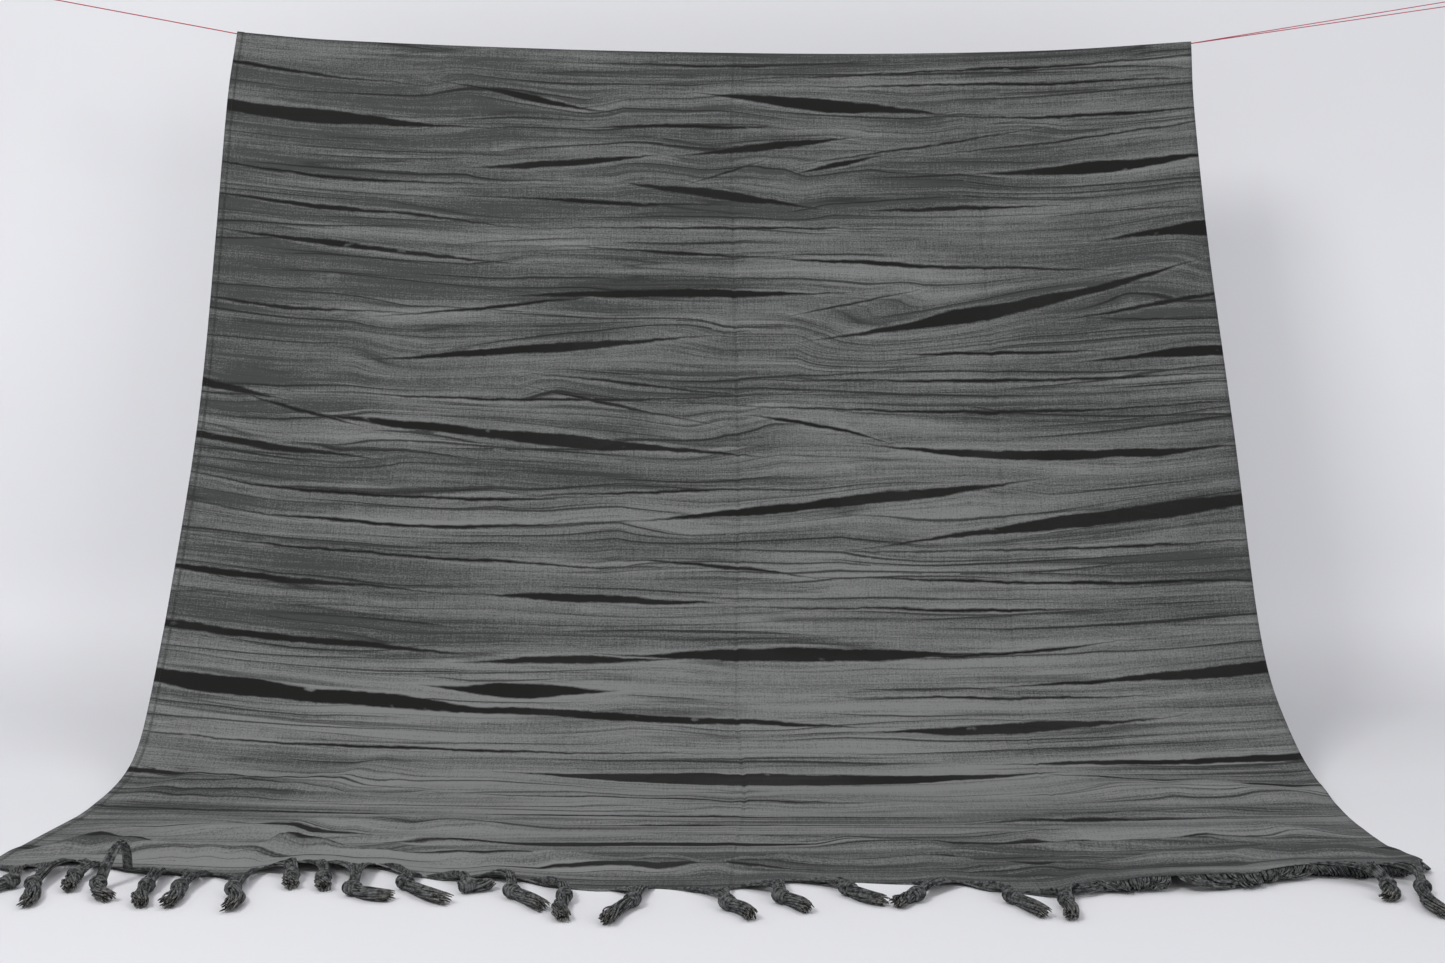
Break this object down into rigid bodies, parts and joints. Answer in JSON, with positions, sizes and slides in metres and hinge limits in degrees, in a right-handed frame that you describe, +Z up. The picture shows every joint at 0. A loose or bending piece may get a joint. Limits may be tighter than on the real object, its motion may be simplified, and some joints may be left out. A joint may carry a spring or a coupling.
{
  "type": "tie-dye throw blanket hung over a line",
  "caption": "Tasselled woven cotton throw folded over a thin line between wall eyes, its front hanging down and swept out over the floor, for display, bedding or a soft backdrop.",
  "frame": {"origin": "on the floor, at the middle of the bounding box of the throw, the tassels and the wall eyes, the string left out", "axes": "+X across the throw, to the right as seen from its front; +Y to the back, so the front faces -Y and the line runs along X; +Z up"},
  "size_m": [3.49, 1.5738, 1.7195],
  "materials": {
    "dyed_cotton": "matt plain weave, charcoal grey with black resist-dyed streaks across it",
    "tassel_yarn": "matt twisted cotton yarn, dark grey with paler cut ends",
    "red_string": "twisted string, red",
    "plain_steel": "plain zinc-plated steel"
  },
  "bodies": {
    "root": {"throw": "dyed_cotton", "tassel_01": "tassel_yarn", "tassel_02": "tassel_yarn", "tassel_03": "tassel_yarn", "tassel_04": "tassel_yarn", "tassel_05": "tassel_yarn", "tassel_06": "tassel_yarn", "tassel_07": "tassel_yarn", "tassel_08": "tassel_yarn", "tassel_09": "tassel_yarn", "tassel_10": "tassel_yarn", "tassel_11": "tassel_yarn", "tassel_12": "tassel_yarn", "tassel_13": "tassel_yarn", "tassel_14": "tassel_yarn", "tassel_15": "tassel_yarn", "tassel_16": "tassel_yarn", "tassel_17": "tassel_yarn", "tassel_18": "tassel_yarn", "tassel_19": "tassel_yarn", "tassel_20": "tassel_yarn", "tassel_21": "tassel_yarn", "tassel_22": "tassel_yarn", "tassel_23": "tassel_yarn", "tassel_24": "tassel_yarn", "tassel_25": "tassel_yarn", "line": "red_string", "line_knot": "red_string", "left_eye": "plain_steel", "right_eye": "plain_steel"}
  },
  "joints": []
}
